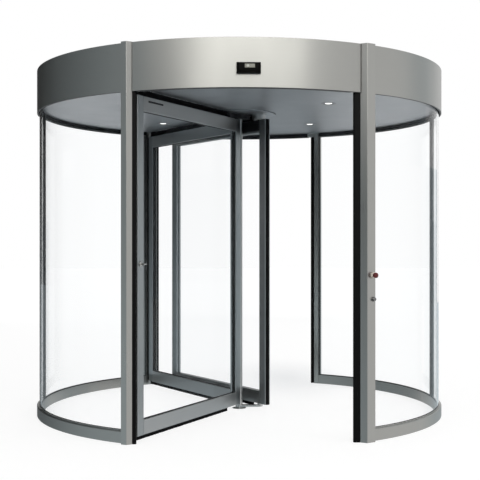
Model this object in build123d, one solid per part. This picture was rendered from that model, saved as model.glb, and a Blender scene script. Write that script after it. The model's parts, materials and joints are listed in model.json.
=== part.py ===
"""Three-wing automatic revolving door with a glazed drum, one wing folded back.

Millimetres, +Z up, origin on the floor at the axis the wings turn about. The
front entrance faces -Y. Round the drum, an angle of 0 looks out of the front
entrance and angles grow towards +X. Along a wing, s is measured from the wing's
pivot outwards. Everything is made of hollow extrusions, bent sheet and glass.
"""
import os
from math import asin, cos, degrees, pi, radians, sin, sqrt, tan

from build123d import *

# ---- overall sizes --------------------------------------------------------
drum_radius = 1500.0        # outside of the sills and the fascia
clear_height = 2192.0       # underside of the fascia
canopy_height = 308.0       # from there to the top of the canopy and of the posts

# ---- the drum wall --------------------------------------------------------
sill_height = 77.0
sill_width = 36.0
sill_chamfer = 6.0
drum_glass = 12.0           # laminated wall glass
glass_setback = 18.0        # from the outside of the sill to the glass
glass_bite = 15.0           # how far the glass sits in its grooves
mullion_bite = 10.0         # and in the grooves of a mullion
head_height = 54.0          # channel that holds the top of the glass
head_width = 26.0
mullion_width = 40.0
profile_wall = 3.0          # wall of the drum's extrusions

# ---- posts and the rubber edges beside the entrances ----------------------
post_angle = 29.35          # the post's outer corner, from the entrance's middle
post_proud = 30.0           # how far that corner stands outside the drum
plain_post_face = 40.0      # outer face of the post the wings turn away from
plain_post_return = 35.0    # its face beside the opening, seen from straight in front
strike_post_face = 66.0     # outer face of the post the wings turn towards
strike_post_return = 40.0
return_turn = 30.0          # those faces are turned this much towards the opening
plain_edge = (26.0, 20.0)   # rubber edge: how far it reaches out, how thick
strike_edge = (44.0, 26.0)
edge_wall = 4.0
post_setback = 2.0          # inside faces of posts and canopy, outside those of the sills

# ---- canopy ---------------------------------------------------------------
fascia_sheet = 3.0
fascia_flange = 57.0        # top flange that carries the roof
roof_sheet = 2.7
ceiling_recess = 32.0       # ceiling above the fascia's lower edge
ceiling_sheet = 4.0
ring_width = 60.0           # mitred ring of steel tube that ties the posts
ring_height = 80.0
ring_wall = 4.0
ring_lengths = 24           # straight lengths in that ring
beam_width = 160.0          # carries the turning parts
beam_wall = 5.0
beam_end_gap = 10.0         # from the ends of the beam to the posts' circle
service_gap = 36.0          # over the beam, for the cables
light_radius = 850.0        # four downlights on this circle
light_hole = 45.0
light_flange = 7.0
light_lip = 3.0             # trim ring below the ceiling
light_depth = 40.0
light_wall = 4.0
lamp_recess = 12.0

# ---- turning parts --------------------------------------------------------
wing_rest = 0.7             # turn of the wings past the line of the posts
wing_thickness = 45.0
wing_glass = 9.0
wing_wall = 3.0
wing_bite = 12.0
stile_width = 72.0
rail_height = 94.0
frame_corner = 3.0
floor_gap = 8.0             # under the bottom brush
bottom_brush = 30.0
top_brush = 40.0
top_gap = 6.0               # from the top brush to the ceiling
tip_brush = 18.0
tip_gap = 6.0               # from the tip brush to the posts and the canopy
brush_thickness = 14.0
column_radius = 24.0
column_wall = 5.0
hub_radius = 270.0
hub_sheet = 12.0
hub_drop = 6.0              # hub below the ceiling
shaft_radius = 30.0
bearing_radius = 60.0       # hole in the beam for the bush
bearing_flange = (85.0, 12.0)   # radius and thickness of the bush's flange
bearing_setback = 20.0      # top of the bush below the top of the beam
hanger_start = 60.0
hanger_length = 120.0
hanger_width = 30.0
hanger_corner = 6.0
hanger_gap = 20.0           # from the hanger to the brushes
hub_collar = 82.0           # radius of the collar round the column, under the hub

# ---- the folding wing's pivot --------------------------------------------
pivot_distance = 150.0      # pivot from the axis
fold_angle = 120.8          # from working position to folded back
wing_inner_gap = 40.0       # frame's inner end from the axis, in working position
gasket_depth = 8.0
gasket_width = 30.0
pin_radius = 12.0
pin_depth = 50.0
pin_end_gap = 2.0
boss_radius = 55.0
boss_gap = 7.0              # from the boss and the collar to the top of the wing
brush_start = 70.0          # from the pivot to the brushes, clear of the boss
cover_reach = 200.0         # pivot covers, from the pivot outwards
cover_height = 83.0
cover_thickness = 8.0
cover_edge = 2.0
arm_thickness = 12.0
arm_width = 56.0
arm_clear = 12.0            # arm above the floor
floor_plate_radius = 52.0
floor_plate_sheet = 3.0
floor_boss = (30.0, 7.0)    # radius and height of the boss on the floor plate
floor_pin = 15.0
floor_pin_gap = 1.0         # from the foot of the floor pin to the floor

# ---- controls -------------------------------------------------------------
sensor_size = (148.0, 44.0, 66.0)
sensor_rise = 115.0         # its middle above the fascia's lower edge
sensor_edge = 8.0
stop_height = 1048.0
stop_aside = 13.0           # from the middle of the post's face, away from the opening
stop_collar = (19.0, 12.0)  # radius and reach
stop_head = 17.0            # radius of the mushroom head
stop_depth = 18.0
stop_crown = 6.0            # bevel round its crown
stop_stem = 7.0
stop_floor = 3.0            # wall behind the stem
stop_travel = 6.0
stem_clear = 0.5
key_height = 898.0
key_aside = 16.0            # as for the stop
key_rose = (15.0, 6.0)
key_barrel = (12.0, 15.0)
key_slot = (2.5, 11.0, 4.0)
lock_height = 1117.0
lock_rose = (20.0, 6.0)
lock_neck = (7.5, 28.0)
lock_grip = (10.0, 34.0, 10.0)

# ---- clearances -----------------------------------------------------------
seat = 0.3                  # between pieces that sit in or on each other
running = 0.05              # radial, pins and shafts in their bores
light_clear = 0.4
past = 1.0                  # cutters run on by this much, in mm or degrees

# ---- worked out -----------------------------------------------------------
glass_outer = drum_radius - glass_setback
glass_inner = glass_outer - drum_glass
wall_inner = drum_radius - sill_width
frame_inner = wall_inner - post_setback          # inside faces of posts and canopy parts
post_radius = drum_radius + post_proud
overall_height = clear_height + canopy_height
ceiling_z = clear_height + ceiling_recess
ring_z = ceiling_z + ceiling_sheet + seat
ring_radius = frame_inner - seat
beam_z = ring_z + ring_height + seat
beam_height = overall_height - roof_sheet - service_gap - beam_z
flange_z = overall_height - roof_sheet - seat - fascia_sheet
hub_z = ceiling_z - hub_drop
wing_radius = frame_inner - tip_gap - tip_brush  # metal frame of a wing, from the axis
wing_top = ceiling_z - top_gap
frame_top = wing_top - top_brush
frame_bottom = floor_gap + bottom_brush
corner_x = post_radius * sin(radians(post_angle))
corner_y = post_radius * cos(radians(post_angle))
plain_angle = post_angle + degrees(plain_post_face / post_radius)
strike_angle = post_angle + degrees(strike_post_face / post_radius)
joint_angle = degrees(seat / drum_radius)        # a seat gap, as an angle round the drum
groove_angle = degrees(glass_bite / glass_outer)  # a post's groove for the glass, likewise


def at(radius, angle):
    """Point on the floor plan at a radius and a drum angle."""
    return (radius * sin(radians(angle)), -radius * cos(radians(angle)))


def rotate_z(shape, angle):
    return Rot(0, 0, angle) * shape


def revolved(points, start, stop, hollow=None):
    """A section of (radius, z) points carried round the drum from start to stop."""
    section = make_face(Polyline(*points, close=True))
    if hollow:
        section -= make_face(Polyline(*hollow, close=True))
    standing = Plane.XZ * section
    return rotate_z(revolve(standing, axis=Axis.Z, revolution_arc=stop - start), start - 90)


def rectangle(low_a, low_b, high_a, high_b):
    return [(low_a, low_b), (high_a, low_b), (high_a, high_b), (low_a, high_b)]


def disc(radius, height):
    """Cylinder that stands on z = 0."""
    return Cylinder(radius, height, align=(Align.CENTER, Align.CENTER, Align.MIN))


def group(shapes):
    """Like pieces that do not touch, kept together under one name."""
    return shapes[0] if len(shapes) == 1 else Compound(shapes)


def save(shape, name):
    export_step(shape, f"parts/{name}.step")


# ---- drum wall ------------------------------------------------------------
def sill(start, stop):
    """Closed extrusion with a groove for the glass and a chamfered outer edge."""
    groove_out = glass_outer + seat
    groove_in = glass_inner - seat
    floor_of_groove = sill_height - glass_bite - seat
    outline = [
        (wall_inner, 0), (drum_radius, 0), (drum_radius, sill_height - sill_chamfer),
        (drum_radius - sill_chamfer, sill_height), (groove_out, sill_height),
        (groove_out, floor_of_groove), (groove_in, floor_of_groove),
        (groove_in, sill_height), (wall_inner, sill_height),
    ]
    hollow = rectangle(wall_inner + profile_wall, profile_wall,
                       drum_radius - profile_wall, floor_of_groove - profile_wall)
    return revolved(outline, start + joint_angle, stop - joint_angle, hollow)


def glass_head(start, stop):
    """Channel, open downwards, that holds the top edge of the wall glass."""
    groove_out = glass_outer + seat
    groove_in = glass_inner - seat
    roof_of_groove = ceiling_z + head_height - profile_wall
    top = ceiling_z + head_height
    outline = [
        (frame_inner, ceiling_z), (groove_in, ceiling_z), (groove_in, roof_of_groove),
        (groove_out, roof_of_groove), (groove_out, ceiling_z),
        (frame_inner + head_width, ceiling_z), (frame_inner + head_width, top),
        (frame_inner, top),
    ]
    return revolved(outline, start + joint_angle, stop - joint_angle)


def wall_glass(start, stop):
    bottom = sill_height - glass_bite
    top = ceiling_z + head_height - profile_wall - seat
    section = rectangle(glass_inner, bottom, glass_outer, top)
    return revolved(section, start + joint_angle, stop - joint_angle)


def mullion(angle):
    """Hollow upright between two panes, grooved on both sides, let in behind the fascia."""
    groove = mullion_bite
    bottom = sill_height + seat
    top = ceiling_z - seat
    body = Pos((wall_inner + drum_radius) / 2, 0) * Rectangle(sill_width, mullion_width)
    slot_middle = (glass_inner + glass_outer) / 2
    for side in (-1, 1):
        slot = Rectangle(drum_glass + 2 * seat, groove)
        body -= Pos(slot_middle, side * (mullion_width - groove) / 2) * slot
    core_width = mullion_width - 2 * groove - 2 * profile_wall
    body -= Pos(slot_middle, 0) * Rectangle(sill_width - 4 * profile_wall, core_width)
    upright = Pos(0, 0, bottom) * extrude(body, amount=top - bottom)
    lip = frame_inner + head_width
    notch = Pos(lip + sill_width, 0, clear_height - seat + top) * Box(
        2 * sill_width, 2 * mullion_width, 2 * top)
    return rotate_z(upright - notch, angle - 90)


def return_depth(return_width):
    """How far the turned face of a post falls back from its outer corner."""
    return return_width * tan(radians(return_turn))


def post_outline(face_width, return_width, end_angle):
    """Plan of a post at the right of an entrance: flat outer face, a return that
    turns towards the opening, and an inside face round the drum."""
    side_x = corner_x - return_width
    side_y = corner_y - return_depth(return_width)
    corner = (corner_x, -corner_y)
    outer_end = at(post_radius, end_angle)
    inner_end = at(frame_inner, end_angle)
    inner_side = (side_x, -sqrt(frame_inner**2 - side_x**2))
    middle_angle = (end_angle + degrees(asin(side_x / frame_inner))) / 2
    inside = ThreePointArc(inner_end, at(frame_inner, middle_angle), inner_side)
    rest = Polyline(inner_side, (side_x, -side_y), corner, outer_end, inner_end)
    return make_face([inside, rest])


def post(face_width, return_width, end_angle):
    """Hollow post with a closed top and a groove for the wall glass."""
    outline = post_outline(face_width, return_width, end_angle)
    solid = extrude(outline, amount=overall_height)
    groove = revolved(
        rectangle(glass_inner - seat, sill_height - glass_bite - seat,
                  glass_outer + seat, ceiling_z + head_height),
        end_angle - groove_angle, end_angle + past)
    core_outline = offset(outline, amount=-profile_wall, kind=Kind.INTERSECTION)
    lining = revolved(
        rectangle(frame_inner - past, -past, post_radius + past, overall_height + past),
        end_angle - groove_angle - degrees(profile_wall / glass_outer), end_angle + past)
    core = extrude(core_outline, amount=overall_height - profile_wall) - lining
    return solid - core - groove


def rubber_edge(return_width, size):
    """Hollow rubber edge with a round nose on the post's entrance side."""
    reach, thickness = size
    side_x = corner_x - return_width - seat
    nose = thickness / 2
    middle_y = -corner_y + return_depth(return_width) + nose
    flat = Pos(side_x - (reach - nose) / 2, middle_y) * Rectangle(reach - nose, thickness)
    outline = flat + Pos(side_x - reach + nose, middle_y) * Circle(nose)
    hollow = offset(outline, amount=-edge_wall)
    return extrude(outline - hollow, amount=clear_height - seat)


# ---- canopy ---------------------------------------------------------------
def side_fascia(start, stop):
    """Bent sheet: turned up behind its foot, upright face, flange for the roof."""
    lip = frame_inner + head_width + seat
    inside = drum_radius - fascia_sheet
    flange_in = drum_radius - fascia_flange
    top = flange_z + fascia_sheet
    hem = clear_height + fascia_sheet
    section = [
        (lip, clear_height), (drum_radius, clear_height), (drum_radius, top),
        (flange_in, top), (flange_in, flange_z), (inside, flange_z), (inside, hem),
        (lip + fascia_sheet, hem), (lip + fascia_sheet, ceiling_z - seat),
        (lip, ceiling_z - seat),
    ]
    return revolved(section, start + joint_angle, stop - joint_angle)


def entrance_fascia():
    """Bent sheet over an entrance, turned up at the back to meet the ceiling."""
    inside = drum_radius - fascia_sheet
    turn_up = frame_inner + fascia_sheet
    flange_in = drum_radius - fascia_flange
    top = flange_z + fascia_sheet
    sheet_top = clear_height + fascia_sheet
    section = [
        (frame_inner, clear_height), (drum_radius, clear_height), (drum_radius, top),
        (flange_in, top), (flange_in, flange_z), (inside, flange_z), (inside, sheet_top),
        (turn_up, sheet_top), (turn_up, ring_z + ring_height / 2),
        (frame_inner, ring_z + ring_height / 2),
    ]
    band = revolved(section, -post_angle - past, post_angle + past)
    left = -(corner_x - plain_post_return) + seat
    right = corner_x - strike_post_return - seat
    gate = Pos((left + right) / 2, 0, 0) * Box(right - left, 4 * drum_radius, 4 * overall_height)
    return band & gate


def ceiling():
    sheet = disc(ring_radius, ceiling_sheet)
    sheet -= Cylinder(hub_radius + hub_drop, 4 * ceiling_sheet)
    for index in range(4):
        x, y = at(light_radius, 45 + 90 * index)
        sheet -= Pos(x, y, 0) * Cylinder(light_hole, 4 * ceiling_sheet)
    return Pos(0, 0, ceiling_z) * sheet


def downlight(index):
    """Trim ring and can, with a recess for the lamp."""
    can = light_hole - light_clear
    rim = light_hole + light_flange
    face = ceiling_z - light_lip
    lamp = face + lamp_recess
    top = ceiling_z + light_depth
    points = [
        (0, lamp), (can - light_wall, lamp), (can - light_wall, face), (rim, face),
        (rim, ceiling_z - seat), (can, ceiling_z - seat), (can, top), (0, top),
    ]
    section = Plane.XZ * make_face(Polyline(*points, close=True))
    x, y = at(light_radius, 45 + 90 * index)
    return Pos(x, y, 0) * revolve(section, axis=Axis.Z)


def ring_band(outer, inner, bottom, top):
    """Band of straight lengths, its corners on the circle through the posts."""
    across = cos(pi / ring_lengths)
    outline = RegularPolygon(outer, ring_lengths)
    outline -= RegularPolygon(outer - (outer - inner) / across, ring_lengths)
    return Pos(0, 0, bottom) * extrude(outline, amount=top - bottom)


def canopy_ring():
    inner = ring_radius - ring_width
    tube = ring_band(ring_radius, inner, ring_z, ring_z + ring_height)
    return tube - ring_band(ring_radius - ring_wall, inner + ring_wall,
                            ring_z + ring_wall, ring_z + ring_height - ring_wall)


def drive_beam():
    """Box beam across the canopy, pierced at the middle for the bearing."""
    length = 2 * (sqrt(ring_radius**2 - (beam_width / 2)**2) - beam_end_gap)
    outside = Rectangle(beam_width, beam_height)
    inside = Rectangle(beam_width - 2 * beam_wall, beam_height - 2 * beam_wall)
    tube = Plane.XZ * (outside - inside)
    beam = extrude(tube, amount=length / 2, both=True)
    beam = Pos(0, 0, beam_z + beam_height / 2) * beam
    return beam - Pos(0, 0, beam_z) * Cylinder(bearing_radius, 4 * beam_height)


def bearing_housing():
    """Flanged bush in the beam that the shaft turns in."""
    flange, thickness = bearing_flange
    bore = shaft_radius + running
    body = bearing_radius - seat
    under = beam_z - seat
    top = beam_z + beam_height - bearing_setback
    points = [
        (bore, under - thickness), (flange, under - thickness), (flange, under),
        (body, under), (body, top), (bore, top),
    ]
    return revolved(points, 0, 360)


def roof():
    return Pos(0, 0, overall_height - roof_sheet) * disc(ring_radius, roof_sheet)


def sensor():
    """Motion sensor on the fascia: a housing with a raked lower face."""
    width, depth, height = sensor_size
    back = sqrt(drum_radius**2 - (width / 2)**2)
    reach = drum_radius - back + depth
    profile = Polyline(
        (0, -height / 2), (reach * 0.45, -height / 2), (reach, -height / 2 + reach * 0.4),
        (reach, height / 2 - sensor_edge), (reach - sensor_edge, height / 2),
        (0, height / 2), close=True)
    housing = extrude(Plane.YZ * make_face(profile), amount=width / 2, both=True)
    housing = fillet(housing.edges().filter_by(Axis.Z), sensor_edge)
    middle = clear_height + sensor_rise
    housing = Pos(0, -back, middle) * rotate_z(housing, 180)
    return housing - Pos(0, 0, middle) * Cylinder(drum_radius + seat, 2 * height)


# ---- turning parts --------------------------------------------------------
def stile(groove_side):
    """Hollow upright of a wing frame; the groove faces the glass."""
    outline = fillet(Rectangle(stile_width, wing_thickness).vertices(), frame_corner)
    groove = wing_bite + seat
    slot = Rectangle(groove, wing_glass + 2 * seat)
    outline -= Pos(groove_side * (stile_width - groove) / 2, 0) * slot
    core = Rectangle(stile_width - groove - 3 * wing_wall, wing_thickness - 2 * wing_wall)
    outline -= Pos(-groove_side * groove / 2, 0) * core
    return extrude(outline, amount=frame_top - frame_bottom)


def rail(start, stop, groove_side, solid_to):
    """Hollow rail from start to stop; kept solid as far as solid_to for a pivot."""
    outline = Rectangle(wing_thickness, rail_height)
    outline = fillet(outline.vertices(), frame_corner)
    groove = wing_bite + seat
    slot = Rectangle(wing_glass + 2 * seat, groove)
    outline -= Pos(0, groove_side * (rail_height - groove) / 2) * slot
    core = Rectangle(wing_thickness - 2 * wing_wall, rail_height - groove - 3 * wing_wall)
    core = Pos(0, -groove_side * groove / 2) * core
    bar = Pos(start, 0, 0) * extrude(Plane.YZ * outline, amount=stop - start)
    return bar - Pos(solid_to, 0, 0) * extrude(Plane.YZ * core, amount=stop - solid_to)


def strip(start, stop, bottom, top, thickness):
    """Upright strip on a wing's middle plane, from start to stop along the wing."""
    middle = Pos((start + stop) / 2, 0, (bottom + top) / 2)
    return middle * Box(stop - start, thickness, top - bottom)


def wing_parts(inner, outer, brush_from, with_pivot):
    """One wing along +X, from its inner to its outer end. Returns its pieces by name."""
    rail_start = inner + stile_width
    rail_stop = outer - stile_width
    low_rail = frame_bottom + rail_height / 2
    high_rail = frame_top - rail_height / 2
    solid_to = brush_from if with_pivot else rail_start
    stiles = [
        Pos(inner + stile_width / 2, 0, frame_bottom) * stile(1),
        Pos(outer - stile_width / 2, 0, frame_bottom) * stile(-1),
    ]
    bottom = Pos(0, 0, low_rail) * rail(rail_start, rail_stop, 1, solid_to)
    top = Pos(0, 0, high_rail) * rail(rail_start, rail_stop, -1, solid_to)
    pane = strip(rail_start - wing_bite, rail_stop + wing_bite, frame_bottom + rail_height - wing_bite,
                 frame_top - rail_height + wing_bite, wing_glass)
    brushes = [
        strip(brush_from, outer, floor_gap, frame_bottom - seat, brush_thickness),
        strip(brush_from, outer, frame_top + seat, wing_top, brush_thickness),
        strip(outer + seat, outer + tip_brush, frame_bottom, frame_top, brush_thickness),
    ]
    return {"stiles": stiles, "rails": [bottom, top], "glass": [pane], "brushes": brushes}


def fixed_wing(name, direction):
    """A wing held by the column and a hanger under the hub."""
    brush_from = hanger_start + hanger_length + hanger_gap
    parts = wing_parts(column_radius + seat, wing_radius, brush_from, False)
    for piece, shapes in parts.items():
        save(group([rotate_z(one, direction) for one in shapes]), f"{name}_{piece}")


def hangers(directions):
    """Collar round the column, with a block that ties each fixed wing to the hub."""
    foot = frame_top + seat
    height = hub_z - seat - foot
    rise = boss_gap - seat
    piece = Pos(0, 0, rise) * disc(hub_collar, height - rise)
    for direction in directions:
        block = Box(hanger_length, hanger_width, height)
        block = fillet(block.edges().filter_by(Axis.Z), hanger_corner)
        middle = hanger_start + hanger_length / 2
        piece += rotate_z(Pos(middle, 0, height / 2) * block, direction)
    return Pos(0, 0, foot) * (piece - Cylinder(column_radius + seat, 4 * height))


def pivot_cover(side):
    """Plate on one face of the folding wing's top rail, over the catch and the pivot."""
    start = wing_inner_gap - pivot_distance + stile_width + seat
    length = cover_reach - start
    plate = Box(length, cover_thickness, cover_height)
    plate = chamfer(plate.faces().sort_by(Axis.Y)[-1].edges(), cover_edge)
    out = wing_thickness / 2 + seat + cover_thickness / 2
    plate = Pos(start + length / 2, out, frame_top - cover_height / 2) * plate
    return plate if side > 0 else mirror(plate, Plane.XZ)


def folding_wing():
    """The wing that swings on its own pins, drawn in its folded position."""
    inner = wing_inner_gap - pivot_distance
    outer = wing_radius - pivot_distance
    parts = wing_parts(inner, outer, brush_start, True)
    bore = Cylinder(pin_radius + running, pin_depth + pin_end_gap)
    low = Pos(0, 0, frame_bottom + pin_depth / 2) * bore
    high = Pos(0, 0, frame_top - pin_depth / 2) * bore
    bottom, top = parts["rails"]
    parts["rails"] = [bottom - low, top - high]
    gasket = strip(inner - gasket_depth, inner - seat, frame_bottom, frame_top, gasket_width)
    parts["brushes"].append(gasket)
    parts["covers"] = [pivot_cover(1), pivot_cover(-1)]
    pivot_x = pivot_distance * cos(radians(wing_rest))
    pivot_y = pivot_distance * sin(radians(wing_rest))
    for piece, shapes in parts.items():
        placed = [Pos(pivot_x, pivot_y, 0) * rotate_z(one, wing_rest + fold_angle) for one in shapes]
        save(group(placed), f"wing_right_{piece}")


def hub():
    """Turntable in the ceiling, with the drive shaft on it."""
    shaft = disc(shaft_radius, beam_z + beam_height - hub_z)
    return Pos(0, 0, hub_z) * (disc(hub_radius, hub_sheet) + shaft)


def upper_pivot():
    """Boss under the hub, with the pin that the folding wing hangs on."""
    boss_height = hub_z - frame_top - boss_gap
    boss = Pos(0, 0, hub_z - seat - boss_height) * disc(boss_radius, boss_height)
    pin_bottom = frame_top - pin_depth + pin_end_gap
    pin = Pos(0, 0, pin_bottom) * disc(pin_radius, hub_z - seat - pin_bottom)
    return rotate_z(Pos(pivot_distance, 0, 0) * (boss + pin), wing_rest)


def column():
    foot = arm_clear + arm_thickness + seat
    ring = Circle(column_radius) - Circle(column_radius - column_wall)
    return Pos(0, 0, foot) * extrude(ring, amount=hub_z - seat - foot)


def lower_arm():
    """Arm at the foot of the column, with the floor pin and the folding wing's pin."""
    bar = SlotCenterToCenter(pivot_distance, arm_width)
    arm = Pos(pivot_distance / 2, 0, arm_clear) * extrude(bar, amount=arm_thickness)
    pin_top = frame_bottom + pin_depth - pin_end_gap
    pin = Pos(pivot_distance, 0, arm_clear) * disc(pin_radius, pin_top - arm_clear)
    foot = Pos(0, 0, floor_pin_gap) * disc(floor_pin, arm_clear + arm_thickness - floor_pin_gap)
    return rotate_z(arm + pin + foot, wing_rest)


def floor_plate():
    """Round plate let down onto the floor, with a boss round the floor pin."""
    boss, boss_height = floor_boss
    plate = disc(floor_plate_radius, floor_plate_sheet) + disc(boss, boss_height)
    return plate - Cylinder(floor_pin + running, 4 * boss_height)


# ---- controls on the strike post and the wing -----------------------------
def on_strike_post(shape, height, aside=0):
    """Put a piece, drawn along +X from its seat, on the post's outer face."""
    middle = (post_angle + strike_angle) / 2
    face = post_radius * cos(radians((strike_angle - post_angle) / 2)) + seat
    return rotate_z(Pos(face, aside, height) * shape, middle - 90)


def turned(points):
    """A piece turned about +X from (reach, radius) points."""
    return revolve(make_face(Polyline(*points, close=True)), axis=Axis.X)


def stop_base():
    """Collar with a bore for the button's stem, closed at its seat."""
    radius, reach = stop_collar
    bore = stop_stem + stem_clear
    collar = turned([(0, 0), (0, radius), (reach, radius), (reach, bore),
                     (stop_floor, bore), (stop_floor, 0)])
    return on_strike_post(collar, stop_height, stop_aside)


def stop_button():
    """Mushroom head on a stem that slides in the collar."""
    collar_reach = stop_collar[1]
    foot = stop_floor + stop_travel + stem_clear
    under = collar_reach + stop_travel + stem_clear
    top = under + stop_depth
    head = turned([(foot, 0), (foot, stop_stem), (under, stop_stem), (under, stop_head),
                   (top - stop_crown, stop_head), (top, stop_head - stop_crown), (top, 0)])
    return on_strike_post(head, stop_height, stop_aside)


def key_switch():
    """Lock cylinder with a key slot, in a rose."""
    rose_radius, rose_reach = key_rose
    barrel_radius, barrel_reach = key_barrel
    slot_width, slot_height, slot_depth = key_slot
    barrel = turned([(0, 0), (0, rose_radius), (rose_reach, rose_radius), (rose_reach, barrel_radius),
                     (barrel_reach, barrel_radius), (barrel_reach, 0)])
    barrel -= Pos(barrel_reach, 0, 0) * Box(2 * slot_depth, slot_width, slot_height)
    return on_strike_post(barrel, key_height, key_aside)


def wing_lock(direction):
    """Rose and turn on each face of the front wing's outer stile."""
    rose_radius, rose_reach = lock_rose
    neck_radius, neck_reach = lock_neck
    turn = turned([(0, 0), (0, rose_radius), (rose_reach, rose_radius), (rose_reach, neck_radius),
                   (neck_reach, neck_radius), (neck_reach, 0)])
    turn += Pos(neck_reach + lock_grip[0] / 2, 0, 0) * Box(*lock_grip)
    sides = []
    for side in (1, -1):
        place = Pos(wing_radius - stile_width / 2, side * (wing_thickness / 2 + seat), lock_height)
        sides.append(rotate_z(place * rotate_z(turn, 90 * side), direction))
    return group(sides)


# ---- build ----------------------------------------------------------------
os.makedirs("parts", exist_ok=True)

plain = post(plain_post_face, plain_post_return, plain_angle)
strike = post(strike_post_face, strike_post_return, strike_angle)
plain_rubber = rubber_edge(plain_post_return, plain_edge)
strike_rubber = rubber_edge(strike_post_return, strike_edge)
save(strike, "post_front_right")
save(mirror(plain, Plane.YZ), "post_front_left")
save(rotate_z(strike, 180), "post_rear_left")
save(rotate_z(mirror(plain, Plane.YZ), 180), "post_rear_right")
edges = [strike_rubber, mirror(plain_rubber, Plane.YZ)]
save(group(edges + [rotate_z(edge, 180) for edge in edges]), "rubber_edges")

wall_start = strike_angle
wall_stop = 180 - plain_angle
pane_bite = groove_angle - 2 * joint_angle
mullion_half = degrees((mullion_width / 2 - mullion_bite) / glass_outer) + joint_angle
for side, turn in (("right", 0), ("left", 180)):
    front, rear = ("front", "rear") if side == "right" else ("rear", "front")
    save(rotate_z(sill(wall_start, wall_stop), turn), f"sill_{side}")
    save(rotate_z(side_fascia(wall_start, wall_stop), turn), f"fascia_{side}")
    near_pane = wall_glass(wall_start - pane_bite, 90 - mullion_half)
    far_pane = wall_glass(90 + mullion_half, wall_stop + pane_bite)
    save(rotate_z(near_pane, turn), f"glass_{front}_{side}")
    save(rotate_z(far_pane, turn), f"glass_{rear}_{side}")

for name, piece in (("glass_heads", glass_head(wall_start, wall_stop)),
                    ("mullions", mullion(90)), ("sensors", sensor())):
    save(group([piece, rotate_z(piece, 180)]), name)
for side, turn in (("front", 0), ("rear", 180)):
    save(rotate_z(entrance_fascia(), turn), f"fascia_{side}")
save(ceiling(), "ceiling")
save(group([downlight(index) for index in range(4)]), "downlights")
save(canopy_ring(), "canopy_ring")
save(drive_beam(), "drive_beam")
save(bearing_housing(), "bearing_housing")
save(roof(), "roof")
save(floor_plate(), "floor_plate")

fixed_wing("wing_front", wing_rest + 240)
fixed_wing("wing_rear", wing_rest + 120)
save(hangers([wing_rest + 240, wing_rest + 120]), "hangers")
save(wing_lock(wing_rest + 240), "wing_lock")
save(hub(), "hub")
save(upper_pivot(), "upper_pivot")
save(column(), "column")
save(lower_arm(), "lower_arm")
folding_wing()

save(stop_base(), "stop_base")
save(stop_button(), "stop_button")
save(key_switch(), "key_switch")
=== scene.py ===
# %% [markdown]
# # A revolving door in Blender
#
# The door comes in as a measured CAD model: hollow aluminium posts, a bent
# sheet canopy, curved glass and three glazed wings, one of them folded back.
# The lesson gives it what CAD leaves out: rounded arrises, brushed metal,
# rubber beads round the glass, bristles, small fittings and studio light.
# Everything is in metres, and Z = 0 is the floor.

# %% Load the CAD frame
import json
import random
from math import atan2, ceil, cos, degrees, radians, sin

import bpy
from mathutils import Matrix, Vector

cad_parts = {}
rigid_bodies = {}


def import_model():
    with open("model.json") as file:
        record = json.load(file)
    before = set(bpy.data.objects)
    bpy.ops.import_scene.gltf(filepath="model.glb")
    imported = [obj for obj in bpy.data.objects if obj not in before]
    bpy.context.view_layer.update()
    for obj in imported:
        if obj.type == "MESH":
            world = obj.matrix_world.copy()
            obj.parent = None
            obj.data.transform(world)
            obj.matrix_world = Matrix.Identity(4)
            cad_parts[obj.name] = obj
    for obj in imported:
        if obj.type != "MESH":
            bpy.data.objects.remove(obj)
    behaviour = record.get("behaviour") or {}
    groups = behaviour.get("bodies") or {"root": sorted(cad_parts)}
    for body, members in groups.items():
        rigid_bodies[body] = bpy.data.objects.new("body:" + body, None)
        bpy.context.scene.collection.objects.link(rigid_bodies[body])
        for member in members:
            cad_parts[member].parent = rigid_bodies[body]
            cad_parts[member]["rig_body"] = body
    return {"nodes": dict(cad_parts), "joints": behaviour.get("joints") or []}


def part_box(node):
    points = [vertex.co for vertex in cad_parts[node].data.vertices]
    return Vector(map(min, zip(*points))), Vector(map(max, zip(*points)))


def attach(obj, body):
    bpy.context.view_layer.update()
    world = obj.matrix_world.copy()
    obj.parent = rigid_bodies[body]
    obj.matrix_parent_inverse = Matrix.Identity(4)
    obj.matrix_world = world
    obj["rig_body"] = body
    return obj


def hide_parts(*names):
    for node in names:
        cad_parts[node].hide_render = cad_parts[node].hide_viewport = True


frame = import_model()
nodes = frame["nodes"]
joints = {joint["name"]: joint for joint in frame["joints"]}
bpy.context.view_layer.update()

# %% [markdown]
# ## Camera
#
# A door this size is seen from a few steps away at chest height, with the
# camera level so that every post stays upright in the picture. A level
# camera puts the horizon in the middle, and a little lens shift moves the
# door in the frame without tilting anything.

# %% A level camera in front of the entrance
EYE = (-0.278, -7.401, 1.254)
HEADING = -2.15  # degrees to the left of +Y is positive

optics = bpy.data.cameras.new("camera")
optics.sensor_width = 36.0
optics.lens = 73.33
optics.shift_x = 0.00155
optics.shift_y = 0.0049
camera = bpy.data.objects.new("camera", optics)
camera.location = EYE
camera.rotation_euler = (radians(90), 0, radians(HEADING))
bpy.context.scene.collection.objects.link(camera)
bpy.context.scene.camera = camera
bpy.context.scene.view_settings.view_transform = "Standard"
print("camera at", EYE)

# %% [markdown]
# ## Shader maths as Python
#
# A material is a graph of nodes, and even a small sum takes many lines. So one
# class wraps an output socket and turns +, - and * into Math nodes. A second
# holds a material's tree and adds any other node from its type, settings
# and inputs.

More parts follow.
